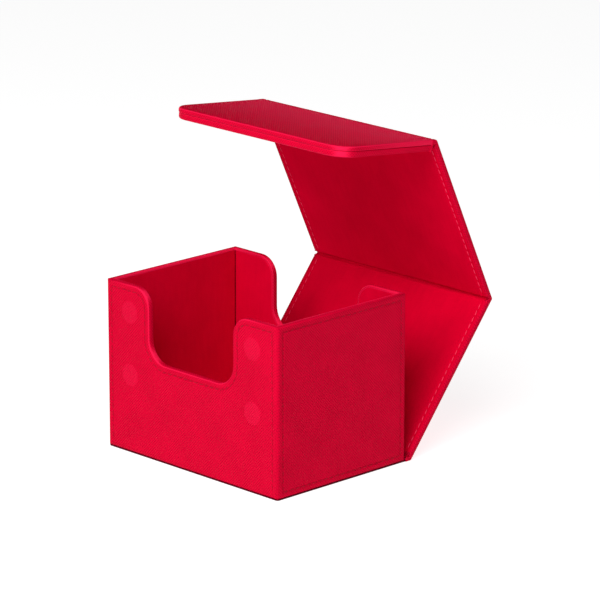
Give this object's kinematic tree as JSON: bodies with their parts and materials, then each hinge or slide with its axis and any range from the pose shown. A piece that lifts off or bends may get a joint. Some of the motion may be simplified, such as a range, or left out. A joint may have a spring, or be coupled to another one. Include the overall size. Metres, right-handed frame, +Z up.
{
  "type": "card deck box",
  "caption": "Side-opening deck box: an open leatherette tray with finger cut-outs and a three-panel folding lid held shut by magnets.",
  "frame": {"origin": "centre of the tray's underside, at floor level", "axes": "+Z up, -Y towards the front wall that the flap closes on, X along the lid's folds"},
  "size_m": [0.108, 0.1304, 0.1465],
  "materials": {
    "leatherette": "crossgrain polyurethane leatherette, satin",
    "microfibre_lining": "brushed microfibre suede",
    "board": "grey bookbinding board",
    "thread": "twisted polyester thread",
    "magnet": "nickel plated"
  },
  "bodies": {
    "tray": {"front_skin": "leatherette", "front_board": "board", "front_lining": "microfibre_lining", "front_seam": "thread", "rear_skin": "leatherette", "rear_board": "board", "rear_lining": "microfibre_lining", "rear_seam": "thread", "right_skin": "leatherette", "right_board": "board", "right_lining": "microfibre_lining", "right_seam": "thread", "left_skin": "leatherette", "left_board": "board", "left_lining": "microfibre_lining", "left_seam": "thread", "base_skin": "leatherette", "base_board": "board", "base_lining": "microfibre_lining", "front_magnet_1": "magnet", "front_magnet_2": "magnet", "front_magnet_3": "magnet", "front_magnet_4": "magnet", "base_fold_skin": "leatherette"},
    "back_panel": {"back_panel_skin": "leatherette", "back_panel_board": "board", "back_panel_lining": "microfibre_lining", "back_panel_left_seam": "thread", "back_panel_right_seam": "thread", "top_fold_skin": "leatherette", "top_fold_lining": "microfibre_lining"},
    "top_panel": {"top_panel_skin": "leatherette", "top_panel_board": "board", "top_panel_lining": "microfibre_lining", "top_panel_left_seam": "thread", "top_panel_right_seam": "thread", "flap_fold_skin": "leatherette", "flap_fold_lining": "microfibre_lining"},
    "front_flap": {"flap_skin": "leatherette", "flap_board": "board", "flap_magnet_board": "board", "flap_lining": "microfibre_lining", "flap_magnet_1": "magnet", "flap_magnet_2": "magnet", "flap_magnet_3": "magnet", "flap_magnet_4": "magnet"}
  },
  "joints": [
    {"name": "base_fold", "type": "hinge", "parent": "tray", "child": "back_panel", "pos_m": [0, 0.0409, 0.001], "axis": [1, 0, 0], "range_deg": [-51.3, 38.7], "deforming": ["base_fold_skin"]},
    {"name": "top_fold", "type": "hinge", "parent": "back_panel", "child": "top_panel", "pos_m": [0, 0.09054, 0.06297], "axis": [1, 0, 0], "range_deg": [-63.5, 26.5], "deforming": ["top_fold_skin", "top_fold_lining"]},
    {"name": "flap_fold", "type": "hinge", "parent": "top_panel", "child": "front_flap", "pos_m": [0, 0.05523, 0.1394], "axis": [1, 0, 0], "range_deg": [-59, 31], "deforming": ["flap_fold_skin", "flap_fold_lining"]}
  ]
}
